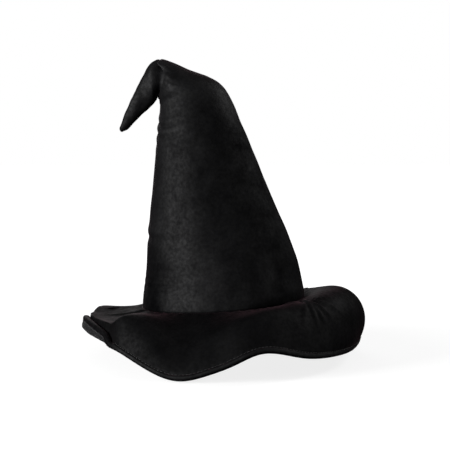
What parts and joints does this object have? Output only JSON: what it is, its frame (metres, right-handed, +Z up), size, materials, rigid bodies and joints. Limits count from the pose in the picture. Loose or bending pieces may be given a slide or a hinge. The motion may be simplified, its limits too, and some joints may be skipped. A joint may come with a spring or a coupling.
{
  "type": "witch hat",
  "caption": "Soft black velvet witch hat with a tall cone that folds over twice at its top and a wide wavy brim with a wired edge.",
  "frame": {"origin": "middle of the hat's footprint, on the surface that the brim stands on", "axes": "+Z up, +X to the hat's right as seen from the front (the side away from the drooping tip), +Y to its back"},
  "size_m": [0.3337, 0.3385, 0.352],
  "materials": {
    "velvet": "black velvet pile",
    "under_velvet": "black velvet pile",
    "foam": "thin padding",
    "lining": "satin lining",
    "ribbon": "ribbed ribbon",
    "thread": "sewing thread",
    "label": "plain woven tape",
    "steel": "plain wire"
  },
  "bodies": {
    "hat_base": {"crown_velvet": "velvet", "crown_foam": "foam", "crown_lining": "lining", "brim_top_velvet": "velvet", "brim_foam": "foam", "brim_under_velvet": "under_velvet", "brim_binding": "velvet", "brim_wire": "steel", "wire_sleeve": "steel", "brim_topstitch": "thread", "brim_understitch": "thread", "sweatband": "ribbon", "sweatband_stitch": "thread", "size_label": "label"},
    "crown_bend": {"bend_velvet": "velvet", "bend_foam": "foam", "bend_lining": "lining"},
    "crown_tip": {"tip_velvet": "velvet", "tip_foam": "foam"}
  },
  "joints": [
    {"name": "shoulder_fold", "type": "hinge", "parent": "hat_base", "child": "crown_bend", "pos_m": [0.0071, 0.0048, 0.306], "axis": [0, 1, 0], "range_deg": [0, 38]},
    {"name": "tip_fold", "type": "hinge", "parent": "crown_bend", "child": "crown_tip", "pos_m": [-0.0729, 0.0048, 0.3518], "axis": [0, 1, 0], "range_deg": [0, 85]}
  ]
}
